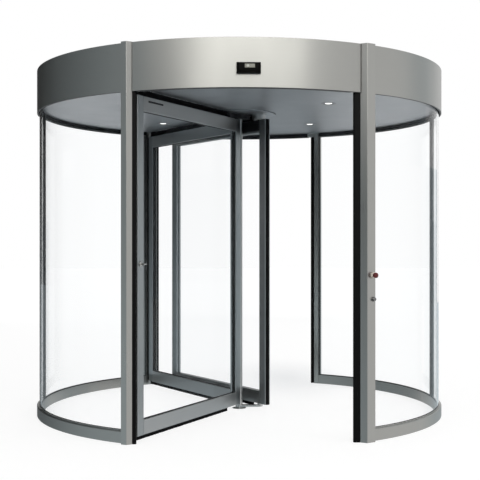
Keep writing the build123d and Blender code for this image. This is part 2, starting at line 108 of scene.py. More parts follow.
# %% A socket that can be written in sums
class Signal:
    """One output socket of a material; arithmetic on it adds Math nodes."""

    def __init__(self, tree, socket):
        self.tree = tree
        self.socket = socket

    def maths(self, operation, *values, clamp=False):
        made = self.tree.nodes.new("ShaderNodeMath")
        made.operation = operation
        made.use_clamp = clamp
        for slot, value in zip(made.inputs, values):
            feed(self.tree, slot, value)
        return Signal(self.tree, made.outputs[0])

    def __add__(self, other):
        return self.maths("ADD", self, other)

    def __radd__(self, other):
        return self.maths("ADD", other, self)

    def __sub__(self, other):
        return self.maths("SUBTRACT", self, other)

    def __rsub__(self, other):
        return self.maths("SUBTRACT", other, self)

    def __mul__(self, other):
        return self.maths("MULTIPLY", self, other)

    def __rmul__(self, other):
        return self.maths("MULTIPLY", other, self)

    def ramp(self, low, high):
        """0 below low, 1 above high, and a straight line between."""
        return self.maths("MULTIPLY", self - low, 1 / (high - low), clamp=True)


def feed(tree, slot, value):
    """Link a signal to a socket, or set the socket's own value."""
    if isinstance(value, Signal):
        tree.links.new(value.socket, slot)
    else:
        slot.default_value = value


# %% A material's tree
class Recipe:
    """A material under construction. The surface starts as a Principled shader."""

    def __init__(self, name, **fixed):
        self.material = bpy.data.materials.new(name)
        self.material.use_nodes = True
        self.tree = self.material.node_tree
        self.shader = self.tree.nodes["Principled BSDF"]
        self.output = self.tree.nodes["Material Output"]
        for title, value in fixed.items():
            self.set(title.replace("_", " "), value)
        self.place = self.node("ShaderNodeTexCoord", out="Object")

    def node(self, kind, settings=None, inputs=None, out=0):
        made = self.tree.nodes.new(kind)
        for key, value in (settings or {}).items():
            setattr(made, key, value)
        for key, value in (inputs or {}).items():
            feed(self.tree, made.inputs[key], value)
        return Signal(self.tree, made.outputs[out])

    def set(self, title, value):
        feed(self.tree, self.shader.inputs[title], value)

    def stretched(self, scale):
        """Object coordinates, scaled differently along each axis."""
        return self.node("ShaderNodeMapping", inputs={"Vector": self.place, "Scale": scale})

    def noise(self, where, scale=1.0, detail=2.0, rough=0.5):
        return self.node("ShaderNodeTexNoise", inputs={
            "Vector": where, "Scale": scale, "Detail": detail, "Roughness": rough})

    def blend(self, share, first, second):
        """Mix two colours."""
        mix = self.tree.nodes.new("ShaderNodeMix")
        mix.data_type = "RGBA"
        feed(self.tree, mix.inputs[0], share)
        feed(self.tree, mix.inputs[6], first)
        feed(self.tree, mix.inputs[7], second)
        return Signal(self.tree, mix.outputs[2])

    def bump(self, height, depth, strength):
        """Let a height of 0 to 1, in units of depth metres, bend the normal."""
        self.set("Normal", self.node("ShaderNodeBump", inputs={
            "Height": height, "Distance": depth, "Strength": strength}))

    def split_surface(self, share, other):
        """Show another shader for a share of the rays: 0 never, 1 always."""
        mix = self.tree.nodes.new("ShaderNodeMixShader")
        feed(self.tree, mix.inputs[0], share)
        self.tree.links.new(self.shader.outputs[0], mix.inputs[1])
        feed(self.tree, mix.inputs[2], other)
        self.tree.links.new(mix.outputs[0], self.output.inputs["Surface"])


def toned(colour, factor):
    """A colour made darker or lighter, with its alpha."""
    return tuple(min(1, factor * part) for part in colour) + (1,)


print("a tone:", toned((0.2, 0.4, 0.6), 0.5))

# %% [markdown]
# ## Satin metal
#
# The door is aluminium with a fine linear finish, then anodised. The tiny
# scratches run along the posts but round the canopy and along the rails. A
# noise squeezed hard on one or two axes gives such a grain without an image:
# low scale along the grain, very high scale across it. The grain feeds
# roughness and a very shallow bump, and a slow noise keeps broad faces from
# looking like plastic.

# %% Brushed and anodised aluminium
UPRIGHT = (900, 900, 6)  # grain along Z
LEVEL = (7, 7, 950)  # grain round the drum and along rails
SHEET = (6, 700, 6)  # grain of a flat sheet
FINE = (700, 700, 700)  # turned and blasted parts, no direction


def metal(name, colour, rough, grain):
    """Metal with hairlines, a slow cloudiness and smears in its gloss."""
    made = Recipe(name, Metallic=1.0)
    hair = made.noise(made.stretched(grain), detail=3.0, rough=0.6)
    cloud = made.noise(made.place, scale=2.2, detail=3.0)
    smear = made.noise(made.stretched((5, 5, 1.4)))
    made.set("Base Color", made.blend(hair * 0.55 + cloud * 0.45,
                                      toned(colour, 0.90), toned(colour, 1.08)))
    made.set("Roughness", rough - 0.10 + hair * 0.10 + smear * 0.10)
    made.bump(hair, 0.00002, 0.35)
    return made.material


upright_satin = metal("satin_aluminium_upright", (0.345, 0.345, 0.33), 0.30, UPRIGHT)
level_satin = metal("satin_aluminium_level", (0.345, 0.345, 0.33), 0.38, LEVEL)
# the stiles get a darker, bluer copy of the rails' aluminium: painted shade with a painted
# reflection tint
wing_upright_shaded = metal("wing_aluminium_upright", (0.31, 0.325, 0.33), 0.36, UPRIGHT)
wing_level = metal("wing_aluminium_level", (0.375, 0.38, 0.38), 0.36, LEVEL)
# the mullions get a near black copy of the posts' aluminium: painted shade
mullion_painted_shade = metal("mullion_aluminium", (0.09, 0.095, 0.095), 0.36, UPRIGHT)
ceiling_metal = metal("ceiling_sheet", (0.30, 0.32, 0.34), 0.44, SHEET)
hub_metal = metal("hub_sheet", (0.30, 0.32, 0.34), 0.36, SHEET)
head_metal = metal("head_aluminium", (0.35, 0.35, 0.34), 0.45, LEVEL)
stainless = metal("stainless", (0.55, 0.55, 0.54), 0.30, UPRIGHT)
lock_metal = metal("lock_metal", (0.42, 0.42, 0.41), 0.28, FINE)
key_metal = metal("key_metal", (0.20, 0.20, 0.20), 0.30, FINE)
lamp_trim = metal("lamp_trim", (0.26, 0.27, 0.28), 0.42, (400, 400, 400))
print("metals from", upright_satin.name, "to", lamp_trim.name)

# %% [markdown]
# ## Glass
#
# Float glass is clear with a faint green-blue cast, and its long edges look
# dark. Plain transparency would show neither edges nor reflections, so this is
# a Principled shader with full transmission. Its shadow would be black,
# because Cycles does not send lamp light through it without caustics, so for
# shadow rays the shader is swapped for a transparent one. A low IOR keeps
# the bowed panes from hiding the door behind bright reflections.

# %% Clear glass that lets shadows through
def glass(name, tint):
    """Clear glass with faint wiping streaks in its gloss."""
    made = Recipe(name, Base_Color=(*tint, 1), IOR=1.09, Transmission_Weight=1.0)
    streak = made.noise(made.stretched((3, 3, 0.7)), detail=3.0)
    made.set("Roughness", streak.ramp(0.45, 0.9) * 0.02)
    clear = made.node("ShaderNodeBsdfTransparent", inputs={"Color": (*tint, 1)})
    made.split_surface(made.node("ShaderNodeLightPath", out="Is Shadow Ray"), clear)
    return made.material


wall_glass = glass("wall_glass", (0.992, 0.997, 0.999))
wing_glass = glass("wing_glass", (0.995, 0.998, 1.0))
print("glass:", wall_glass.name, wing_glass.name)

# %% [markdown]
# ## Rubber, paint and plastic
#
# Seals, sensors, the stop button and the painted steel in the canopy are
# single colours, but none is even: moulded rubber has a fine skin, and every
# surface gathers a little dust. A fine noise bends the normal and a slow one
# shifts colour and gloss. One function makes them all, so they stay a family.

# %% Dark and coloured solids
def solid(name, colour, rough, depth=0.00004, spread=0.25, **fixed):
    """A plain solid colour with a fine skin and slow patches."""
    made = Recipe(name, **fixed)
    skin = made.noise(made.place, scale=400.0)
    patch = made.noise(made.place, scale=6.0, detail=3.0)
    made.set("Base Color", made.blend(patch, toned(colour, 1 - spread),
                                      toned(colour, 1 + spread)))
    made.set("Roughness", rough - 0.06 + skin * 0.06 + patch * 0.06)
    made.bump(skin, depth, 0.4)
    return made.material


rubber = solid("black_rubber", (0.002, 0.002, 0.0022), 0.5, Specular_IOR_Level=0.10)
bead_rubber = solid("glazing_rubber", (0.022, 0.024, 0.025), 0.6, Specular_IOR_Level=0.2)
inner_steel = solid("inner_steel", (0.30, 0.31, 0.31), 0.55)
# dark grey for the strip under the glazed-side fascias: painted shade for the gap there
trim_grey = solid("trim_grey", (0.085, 0.09, 0.095), 0.5, Specular_IOR_Level=0.3)
black_metal = solid("black_metal", (0.010, 0.011, 0.013), 0.45, Specular_IOR_Level=0.3)
sensor_plastic = solid("sensor_plastic", (0.0025, 0.0025, 0.002), 0.32, depth=0.00001,
                       Specular_IOR_Level=0.03)
stop_red = solid("stop_red", (0.095, 0.011, 0.012), 0.36, depth=0.00001, spread=0.08,
                 Specular_IOR_Level=0.3)
stop_collar = solid("stop_collar", (0.62, 0.56, 0.50), 0.40, depth=0.00001, spread=0.06)
# the smoked window's grey and the pale eye are lighter than the housing: a painted highlight
sensor_window = solid("sensor_window", (0.13, 0.13, 0.10), 0.12, depth=0.000005)
sensor_eye = solid("sensor_eye", (0.40, 0.41, 0.37), 0.18, depth=0.000005, spread=0.1)
print("solids from", rubber.name, "to", sensor_eye.name)

# %% [markdown]
# ## Roof sheet
#
# The roof is painted sheet in four strips, dull and dusty, seen only from the
# floor above. The joints between the strips are a few millimetres wide, so
# they are drawn in the paint: the distance to each joint's line darkens
# the colour and dents the bump.

# %% Painted sheet with joints
ROOF_JOINTS = (-0.72, 0.0, 0.72)  # where the strips meet, across the door


def sheet_roof(name, colour, gap):
    """Dusty paint with a dark joint along each line."""
    made = Recipe(name, Specular_IOR_Level=0.25)
    across = made.node("ShaderNodeSeparateXYZ", inputs={"Vector": made.place}, out="X")
    joint = 0.0
    for line in ROOF_JOINTS:
        away = across - line
        joint = joint + (1 - away.maths("ABSOLUTE", away).ramp(0.0012, 0.0030))
    dust = made.noise(made.place, scale=3.5, detail=5.0)
    speck = made.noise(made.place, scale=140.0)
    paint = made.blend(dust.ramp(0.3, 0.75), toned(colour, 1), toned(colour, 0.86))
    made.set("Base Color", made.blend(joint, paint, toned(gap, 1)))
    made.set("Roughness", 0.62 + dust * 0.16)
    made.bump(speck * 0.2 - joint, 0.0008, 0.5)
    return made.material


roof_paint = sheet_roof("roof_paint", (0.32, 0.325, 0.32), (0.05, 0.05, 0.05))
print("roof joints at", ROOF_JOINTS)

# %% [markdown]
# ## Lamp lens and bristles
#
# A downlight's lens is a pressed, ribbed diffuser that glows by itself, so its
# rings show in the light it gives. The draught brushes are black nylon: each
# hair is finer than a picture can show, and a noise squeezed across the hairs
# gives the look of strands without modelling them.

# %% A lit lens
def glowing(name, colour, strength):
    """A lit, ribbed diffuser."""
    made = Recipe(name, Emission_Strength=strength, Roughness=0.4)
    rib = made.node("ShaderNodeTexWave", {"wave_type": "RINGS", "rings_direction": "Z"},
                    {"Vector": made.place, "Scale": 60.0, "Distortion": 0.0})
    made.set("Base Color", made.blend(rib, (0.82, 0.82, 0.80, 1), (0.90, 0.90, 0.88, 1)))
    made.set("Emission Color", made.blend(rib, toned(colour, 0.94), toned(colour, 1)))
    return made.material


lamp_glow = glowing("lamp_glow", (1.0, 0.985, 0.95), 1.35)
print("the lens glows in", lamp_glow.name)


# %% Bristles
def bristles(name):
    """Black nylon hair: strands across the length, tufts in its gloss and bump."""
    made = Recipe(name, Specular_IOR_Level=0.04)
    strand = made.noise(made.stretched((1400, 1400, 14)))
    tuft = made.noise(made.stretched((120, 120, 4)))
    made.set("Base Color", made.blend(strand, toned((0.001, 0.001, 0.001), 1),
                                      toned((0.006, 0.006, 0.007), 1)))
    made.set("Roughness", 0.62 + tuft * 0.2)
    made.bump(strand * 0.6 + tuft * 0.4, 0.0008, 0.8)
    return made.material


brush_hair = bristles("black_brush")
print("bristles:", brush_hair.name)

# %% [markdown]
# ## Finishes on the frame
#
# Every CAD node gets its finish before anything is copied from it, so a copy
# brings the right material along. Names that start alike are dressed together.

# %% Dress the CAD nodes
def dress(material, *names):
    """Give the named nodes one material in place of the plain one."""
    for name in names:
        slots = nodes[name].data.materials
        slots.clear()
        slots.append(material)


def family(*starts):
    """The nodes whose names start with any of these words."""
    return [name for name in sorted(nodes) if name.startswith(starts)]


dress(upright_satin, *family("post_"))
dress(mullion_painted_shade, "mullions")
dress(level_satin, *family("fascia_", "sill_"))
dress(wall_glass, *family("glass_front", "glass_rear"))
for side in ("front", "rear", "right"):
    dress(wing_glass, f"wing_{side}_glass")
    dress(wing_upright_shaded, f"wing_{side}_stiles")
    dress(wing_level, f"wing_{side}_rails")
    dress(brush_hair, f"wing_{side}_brushes")
dress(rubber, "rubber_edges")
dress(ceiling_metal, "ceiling")
dress(roof_paint, "roof")
dress(hub_metal, "hub")
dress(inner_steel, "canopy_ring", "drive_beam", "bearing_housing")
dress(head_metal, "glass_heads")
dress(black_metal, "hangers", "wing_right_covers")
dress(stainless, "column", "lower_arm", "floor_plate", "upper_pivot")
dress(sensor_plastic, "sensors")
dress(lamp_trim, "downlights")
dress(stop_red, "stop_button")
dress(stop_collar, "stop_base")
dress(lock_metal, "key_switch", "wing_lock")
print("materials on", sum(len(node.data.materials) for node in nodes.values()), "nodes")

# %% [markdown]
# ## Rounded arrises
#
# CAD edges are perfectly sharp, and a sharp edge never catches the light. The
# bevel shader would fake it, but only in the render, so real bevels are cut: a
# piece is copied, its loose triangles joined, and a narrow bevel put on each
# edge. A Weighted Normal modifier then keeps the broad faces flat while the
# bevels and the drum's curve shade smoothly.

# %% Selection and edit mode
def pick(*pieces):
    """Make these objects the only ones that operators act on."""
    bpy.ops.object.select_all(action="DESELECT")
    for piece in pieces:
        piece.select_set(True)
    bpy.context.view_layer.objects.active = pieces[0]


def edit_all(piece):
    """Open one object in edit mode with all of it selected."""
    pick(piece)
    bpy.ops.object.mode_set(mode="EDIT")
    bpy.ops.mesh.select_all(action="SELECT")


def close_edit():
    bpy.ops.object.mode_set(mode="OBJECT")


def apply_all(piece):
    """Apply every modifier, in the order in which they were added."""
    pick(piece)
    for modifier in list(piece.modifiers):
        bpy.ops.object.modifier_apply(modifier=modifier.name)


# %% Round an object's edges, and copy a node
def rounded(piece, width, segments=2, angle=35):
    """Bevel the edges sharper than angle, then even out the shading."""
    if width:
        bevel = piece.modifiers.new("arris", "BEVEL")
        bevel.width = width
        bevel.segments = segments
        bevel.limit_method = "ANGLE"
        bevel.angle_limit = radians(angle)
        apply_all(piece)
    pick(piece)
    bpy.ops.object.shade_smooth_by_angle(angle=radians(angle))
    weighted = piece.modifiers.new("even", "WEIGHTED_NORMAL")
    weighted.keep_sharp = True
    apply_all(piece)
    return piece


def copy_node(node, name):
    """The CAD node's shape as one clean mesh of its own."""
    piece = bpy.data.objects.new(name, nodes[node].data.copy())
    bpy.context.scene.collection.objects.link(piece)
    edit_all(piece)
    bpy.ops.mesh.customdata_custom_splitnormals_clear()
    bpy.ops.mesh.remove_doubles(threshold=0.00001)
    bpy.ops.mesh.dissolve_limited(angle_limit=radians(0.3))
    close_edit()
    return piece


def body_of(node):
    return nodes[node]["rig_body"]


def soften(node, width, segments=2):
    """A rounded copy that rides where the node does and is shown in its place."""
    piece = rounded(copy_node(node, "soft_" + node), width, segments)
    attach(piece, body_of(node))
    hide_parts(node)
    return piece


# the nodes, the width of the round in metres, and its segments
ARRISES = (
    (family("post_"), 0.0012, 2),
    (family("fascia_", "sill_", "mullions"), 0.0010, 2),
    ([f"wing_{side}_{part}" for side in ("front", "rear", "right")
      for part in ("rails", "stiles")], 0, 2),  # the CAD has their corners
    (["hub", "column", "lower_arm", "hangers", "upper_pivot", "wing_right_covers"], 0.0010, 2),
    (["rubber_edges"], 0.006, 4),
    (["ceiling", "roof", "floor_plate", "glass_heads"], 0.0004, 1),
    (family("glass_front", "glass_rear"), 0.0008, 1),
)
softened = [soften(name, width, segments)
            for names, width, segments in ARRISES for name in names]
print(len(softened), "softened pieces")

# %% [markdown]
# ## Trim round the drum
#
# A black angle closes the foot of the fascia over each entrance, and a dark
# grey strip lies under it over the glazed walls, painted shade for the gap
# between fascia and ceiling. Beads hold the wall glass in its sills, mullions
# and posts. A curve with a bevel could draw them, but its ends need caps.
# They all follow the drum, so one helper serves: a small rectangle is drawn
# at its radius and spun about the drum's axis. Angle 0 looks out of the front
# entrance, 90 to the right.

# %% Helpers for every new piece
def settle(piece, place=(0, 0, 0), turn=(0, 0, 0)):
    """Move and turn a piece, and put that in its mesh, as a CAD node has it."""
    piece.location = place
    piece.rotation_euler = turn
    pick(piece)
    bpy.ops.object.transform_apply(location=True, rotation=True, scale=True)
    return piece


def outwards(piece):
    """Make every face point out of the piece."""
    edit_all(piece)
    bpy.ops.mesh.remove_doubles(threshold=0.000005)
    bpy.ops.mesh.normals_make_consistent(inside=False)
    close_edit()
    return piece


def begin(name, primitive, **settings):
    """Add a primitive and open it in edit mode, with nothing else selected."""
    bpy.ops.object.select_all(action="DESELECT")
    primitive(**settings)
    piece = bpy.context.object
    piece.name = name
    edit_all(piece)
    return piece


def sheet_start(name, width, depth):
    """A flat rectangle round the origin, open in edit mode."""
    piece = begin(name, bpy.ops.mesh.primitive_plane_add, size=1)
    bpy.ops.transform.resize(value=(width, depth, 1))
    return piece


def disc_start(name, sides, radius):
    """A flat disc round the origin, open in edit mode."""
    return begin(name, bpy.ops.mesh.primitive_circle_add, vertices=sides, radius=radius,
                 fill_type="NGON")


def lift(height):
    """Extrude what is selected along Z."""
    bpy.ops.mesh.extrude_region_move(TRANSFORM_OT_translate={"value": (0, 0, height)})


def joined(name, pieces):
    """Several pieces as one object with its own mesh."""
    pick(*pieces)
    if len(pieces) > 1:
        bpy.ops.object.join()
    result = bpy.context.object
    result.name = name
    return result


def fitted(piece, body, material, slot, *replaced):
    """Give a finished piece its body, its finish and the nodes it stands for."""
    piece.data.materials.clear()
    piece.data.materials.append(material)
    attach(piece, body)
    if replaced:
        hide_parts(*replaced)
    return piece


# %% A bar that follows the drum
FACET = 1.5  # degrees, the longest straight step


def drum_bar(name, inner, outer, foot, top, start, stop):
    """A bar between two radii and two heights, from one drum angle to another."""
    piece = sheet_start(name, outer - inner, top - foot)
    close_edit()
    settle(piece, ((inner + outer) / 2, 0, (foot + top) / 2), (radians(90), 0, 0))
    edit_all(piece)
    bpy.ops.mesh.spin(steps=max(1, ceil((stop - start) / FACET)), angle=radians(start - stop),
                      center=(0, 0, 0), axis=(0, 0, 1))
    close_edit()
    settle(piece, turn=(0, 0, radians(start - 90)))
    return outwards(piece)


sill_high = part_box("sill_right")[1]
drum = sill_high.x  # outside radius of sills and fascia
sill_top = sill_high.z
fascia_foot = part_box("fascia_right")[0].z
ceiling_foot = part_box("ceiling")[0].z
print("drum radius", round(drum, 4), "fascia foot", round(fascia_foot, 4))

# %% Trim under the fascias
ENTRANCE = (-26.8, 26.1)  # drum angles between the posts of an entrance
GLAZED = (32.2, 148.9)  # and those of a glazed side
SHEET_INNER = drum - 0.038  # inside face of the canopy's sheet
SHEET_OUTER = drum - 0.0006
STRIP = 0.0108  # width of the strip over the glass
LEAF = 0.0022  # wall of the trim
TOUCH, CLEAR = 0.0001, 0.0004  # gaps to the fascia and to the ceiling

trims, gap_shade_strips = [], []
for turn in (0, 180):
    ends = [turn + angle for angle in ENTRANCE]
    trims.append(drum_bar("foot", SHEET_INNER - LEAF, SHEET_OUTER,
                          fascia_foot - LEAF, fascia_foot - TOUCH, *ends))
    trims.append(drum_bar("leg", SHEET_INNER - LEAF, SHEET_INNER - 2 * TOUCH,
                          fascia_foot - TOUCH, ceiling_foot - CLEAR, *ends))
    gap_shade_strips.append(drum_bar("side", SHEET_OUTER - STRIP, SHEET_OUTER, fascia_foot - LEAF,
                               fascia_foot - TOUCH, *[turn + angle for angle in GLAZED]))
trim = rounded(joined("fascia_trim", trims), 0.0006)
fitted(trim, "enclosure", black_metal, "black_metal")
# the dark grey strip over the glazed walls is painted shade for the gap between fascia and
# ceiling
side_trim = rounded(joined("side_trim", gap_shade_strips), 0.0006)
fitted(side_trim, "enclosure", trim_grey, "black_metal")
print("fascia trim", len(trim.data.polygons), "faces")

# %% Beads along the wall glass
GLASS_IN, GLASS_OUT = drum - 0.0302, drum - 0.0178  # just clear of the pane
BEAD, RISE = 0.0055, 0.006  # how far a bead stands out, and its height on the sill
WALL = (31.95, 149.02)  # drum angles where the posts take over
MULLION = (89.2, 90.8)  # and where the mullion between them does
LIP, INNER_LIP = 0.22, 0.35  # degrees of an upright bead, and inside at a mullion
LAP = 0.02  # degrees that an upright bead goes past the sill's

beads, outer_beads = [], []
for turn in (0, 180):
    first, last = (turn + angle for angle in WALL)
    before, after = (turn + angle for angle in MULLION)
    panes = ((first, before), (after, last))
    for inner, outer in ((GLASS_IN - BEAD, GLASS_IN), (GLASS_OUT, GLASS_OUT + BEAD)):
        outside = outer > GLASS_OUT
        for start, stop in panes:
            (outer_beads if outside else beads).append(drum_bar(
                "sill bead", inner, outer, sill_top, sill_top + RISE, start, stop))
        lip = LIP if outside else INNER_LIP
        for start, stop in ((first, first + LIP), (before + LAP - lip, before + LAP),
                            (after - LAP, after - LAP + lip), (last - LIP, last)):
            beads.append(drum_bar("upright bead", inner, outer, sill_top + RISE,
                                  fascia_foot - 0.0025, start, stop))
    for start, stop in panes:
        beads.append(drum_bar("head bead", GLASS_IN - BEAD, GLASS_IN, fascia_foot + 0.005,
                              ceiling_foot - CLEAR, start, stop))
bead = rounded(joined("wall_glazing_beads", beads), 0.0012)
fitted(bead, "enclosure", bead_rubber, "black_rubber")
outer_bead = rounded(joined("sill_glazing_beads", outer_beads), 0.0012)
fitted(outer_bead, "enclosure", level_satin, "satin_aluminium")
print("glazing beads", len(bead.data.polygons), "and", len(outer_bead.data.polygons), "faces")

# %% [markdown]
# ## Wing details
#
# The panes sit in the wing frames with a bead on each side, mitred at the
# corners. Four bars could be cut to 45 degrees, but a sheet as large as
# the opening, inset, emptied and thickened, comes with its mitres. Wing
# pieces are made along +X and then turned to their wing. The CAD pane tells
# where that is: the direction from the pivot to its middle.

# %% Where each wing stands
class Wing:
    """Direction and measures of one wing, read from its CAD nodes."""

    def __init__(self, name, pivot):
        self.name = name
        self.pivot = Vector(pivot)
        low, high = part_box(name + "_glass")
        middle = (low + high) / 2 - self.pivot
        self.turn = atan2(middle.y, middle.x)
        self.along = Vector((cos(self.turn), sin(self.turn), 0))
        self.body = body_of(name + "_glass")

    def reach(self, piece, above=-1.0):
        """A node's first and last place along the wing, and its lowest and highest."""
        spots = [vertex.co for vertex in nodes[self.name + "_" + piece].data.vertices
                 if vertex.co.z > above]
        places = [(spot - self.pivot).dot(self.along) for spot in spots]
        heights = [spot.z for spot in spots]
        return min(places), max(places), min(heights), max(heights)

    def half_depth(self, piece):
        """How far a node's faces stand from the wing's middle plane."""
        across = Vector((-self.along.y, self.along.x, 0))
        return max(abs((vertex.co - self.pivot).dot(across))
                   for vertex in nodes[self.name + "_" + piece].data.vertices)

    def fit(self, piece, material, slot, *replaced):
        """Turn a finished piece to the wing and fit it there."""
        settle(piece, (self.pivot.x, self.pivot.y, 0), (0, 0, self.turn))
        return fitted(piece, self.body, material, slot, *replaced)


fold = Vector(joints["wing_fold"]["pos_m"])
wings = [Wing("wing_front", (0, 0, 0)), Wing("wing_rear", (0, 0, 0)),
         Wing("wing_right", (fold.x, fold.y, 0))]
for wing in wings:
    print(wing.name, f"{degrees(wing.turn):.1f} degrees", wing.body)

# %% Beads round the wing glass
BITE = 0.012  # how far a pane is let in
SNUG = 0.0004  # less than the opening, so that the ring drops in
HALF_PANE = 0.0047
SIDE_BEAD, LEVEL_BEAD = 0.0040, 0.0018  # widths beside the stiles and along the rails
BEAD_FACE = {"wing_front": 0.0120, "wing_rear": 0.0155}  # from the wing's middle plane


def frame_ring(name, width, height, thickness):
    """A mitred frame that lies flat round the origin, narrower along the rails."""
    piece = sheet_start(name, width, height)
    bpy.ops.mesh.inset(thickness=SIDE_BEAD)
    stretch = (height - 2 * LEVEL_BEAD) / (height - 2 * SIDE_BEAD)
    bpy.ops.transform.resize(value=(1, stretch, 1), center_override=(0, 0, 0))
    bpy.ops.mesh.delete(type="FACE")
    bpy.ops.mesh.select_all(action="SELECT")
    lift(thickness)
    close_edit()
    return outwards(piece)


for wing in wings:
    start, stop, foot, top = wing.reach("glass")
    flush = wing.half_depth("stiles") - 0.0010
    face = BEAD_FACE.get(wing.name, flush)
    rings = []
    for side in (1, -1):
        ring = frame_ring("ring", stop - start - 2 * BITE - SNUG, top - foot - 2 * BITE - SNUG,
                          face - HALF_PANE)
        middle = ((start + stop) / 2, side * HALF_PANE, (foot + top) / 2)
        rings.append(settle(ring, middle, (radians(-90 * side), 0, 0)))
    ring = rounded(joined(wing.name + "_beads", rings), 0.0006)
    if wing.name == "wing_right":
        wing.fit(ring, wing_upright_shaded, "satin_aluminium")
    else:
        wing.fit(ring, bead_rubber, "black_rubber")
    print(wing.name, "beads stand out", round(face, 4))

# %% [markdown]
# ## Brushes
#
# Draught brushes are nylon hair crimped into a channel. Single hairs are far too
# many, so a strip is three thin sheets, cut finely along their length, whose
# tips are pulled about at random into tufts. A seeded random source keeps
# them the same in every run. The channel is a bevelled bar.

# %% One strip of tufts
dice = random.Random(7)
TUFT = 0.0045  # width of a tuft
ROWS = 0.0028  # between the sheets


def tufts(name, length, reach):
    """Three ragged sheets along +X, hair up along +Z from z = 0."""
    sheets = []
    for row in (-1, 0, 1):
        bpy.ops.object.select_all(action="DESELECT")
        columns = max(4, round(length / TUFT))
        bpy.ops.mesh.primitive_grid_add(x_subdivisions=columns, y_subdivisions=2, size=1)
        hair = bpy.context.object
        for vertex in hair.data.vertices:
            place, height = (vertex.co.x + 0.5) * length, (vertex.co.y + 0.5) * reach
            lean = 0.0
            if height > 0.9 * reach:
                height -= dice.uniform(0.0, 0.10) * reach
                lean = dice.uniform(-0.0012, 0.0012)
                place += dice.uniform(-0.4, 0.4) * TUFT * (0 < place < length)
            vertex.co = (place, row * ROWS + lean, height)
        thick = hair.modifiers.new("hair", "SOLIDIFY")
        thick.thickness = 0.0012
        thick.offset = 0
        apply_all(hair)
        sheets.append(hair)
    return joined(name, sheets)


def channel(name, length, width, height):
    """The bar that holds the hair: its top is inset and sunk a little."""
    piece = sheet_start(name, length, width)
    lift(height)
    bpy.ops.mesh.inset(thickness=0.0025)
    bpy.ops.transform.translate(value=(0, 0, -0.002))
    close_edit()
    return rounded(outwards(settle(piece, (length / 2, 0, 0))), 0.0006)


# %% Brushes on every wing
CHANNEL = (0.0136, 0.007)  # width and height of the channel
SEAT = 0.0003
under = ceiling_foot - 0.0010  # hair all but touches the ceiling
for wing in wings:
    _, last, foot, top = wing.reach("stiles")
    _, tip, low, _ = wing.reach("brushes")
    brush_start = wing.reach("brushes", above=top)[0]
    run = last - brush_start
    # where a strip starts, how it is turned, its length and the hair's reach
    places = [
        ((brush_start, 0, top + SEAT), (0, 0, 0), run, under - top - SEAT),
        ((brush_start, 0, foot - SEAT), (radians(180), 0, 0), run, foot - SEAT - low),
        ((last + SEAT, 0, top), (0, radians(90), 0), top - foot, tip - last - SEAT),
    ]
    hair, bars = [], []
    for place, turn, length, reach in places:
        hair.append(settle(tufts("tufts", length, reach), place, turn))
        bars.append(settle(channel("bar", length, *CHANNEL), place, turn))
    wing.fit(joined(wing.name + "_tufts", hair), brush_hair, "black_brush",
             wing.name + "_brushes")
    wing.fit(joined(wing.name + "_channels", bars), black_metal, "black_metal")
    print(wing.name, "brush from", round(brush_start, 3), "to", round(last, 3))

# %% [markdown]
# ## The folding wing's seal
#
# Where the folding wing meets the column it has a soft half-round gasket, which
# is squeezed in the wing's working position. It is a disc, stretched to an
# ellipse, cut in half by a plane and extruded up the stile. A spline would do
# the same with more points to set.

# %% A half-round gasket
HALF_SEAL = 0.015
folding = wings[2]
first, last, foot, top = folding.reach("stiles")
seal_end = folding.reach("brushes")[0]
seal = disc_start("wing_right_seal", 40, 1)
bpy.ops.transform.resize(value=(first - seal_end - SEAT, HALF_SEAL, 1),
                         center_override=(0, 0, 0))
bpy.ops.mesh.bisect(plane_co=(0, 0, 0), plane_no=(1, 0, 0), clear_outer=True)
bpy.ops.mesh.select_all(action="SELECT")
lift(top - foot)
close_edit()
settle(outwards(seal), (first - SEAT, 0, foot))
folding.fit(rounded(seal, 0), rubber, "black_rubber", "wing_right_brushes")
print("seal", round(first - seal_end - SEAT, 4), "deep,", round(top - foot, 3), "tall")

# %% [markdown]
# ## Turned fittings
#
# Stop button, key switch, wing lock and downlights are turned parts. A profile
# could be drawn and spun, but a disc that is extruded and scaled along a
# list of heights and radii closes by itself: a lathe in edit mode. Rounded
# crowns are short arcs in that list. The piece is then stood on the face
# that the CAD part sits on.

# %% A lathe
def turned(name, steps, sides=48):
    """A round piece along +Z from (height, radius) steps."""
    piece = disc_start(name, sides, steps[0][1])
    for (height, radius), (next_height, next_radius) in zip(steps, steps[1:]):
        lift(next_height - height)
        share = next_radius / radius
        bpy.ops.transform.resize(value=(share, share, 1),
                                 center_override=(0, 0, next_height - steps[0][0]))
    close_edit()
    return outwards(piece)


def crown(height, radius, rise, drop):
    """Steps of a rounded edge that climbs by rise while the radius loses drop."""
    turns = [radians(90) / 5 * step for step in range(6)]
    return [(height + rise * sin(turn), radius - drop * (1 - cos(turn))) for turn in turns]


print("a crown has", len(crown(0.009, 0.019, 0.003, 0.003)), "steps")


# %% The face that a fitting sits on
def seat_of(node, normal, side=None):
    """The middle of a turned node's foot, on the face that it sits on."""
    across = Vector((-normal.y, normal.x, 0))
    spots = [vertex.co for vertex in nodes[node].data.vertices
             if side is None or vertex.co.dot(normal) > side]
    drift = [spot.dot(across) for spot in spots]
    rise = [spot.z for spot in spots]
    middle = across * (min(drift) + max(drift)) / 2
    middle.z = (min(rise) + max(rise)) / 2
    return middle + normal * min(spot.dot(normal) for spot in spots)


def stand(piece, seat, normal):
    return settle(piece, seat, normal.to_track_quat("Z", "Y").to_euler())


press_axis = Vector(joints["stop_press"]["axis"]).normalized()
print("the stop faces", [round(part, 3) for part in press_axis])

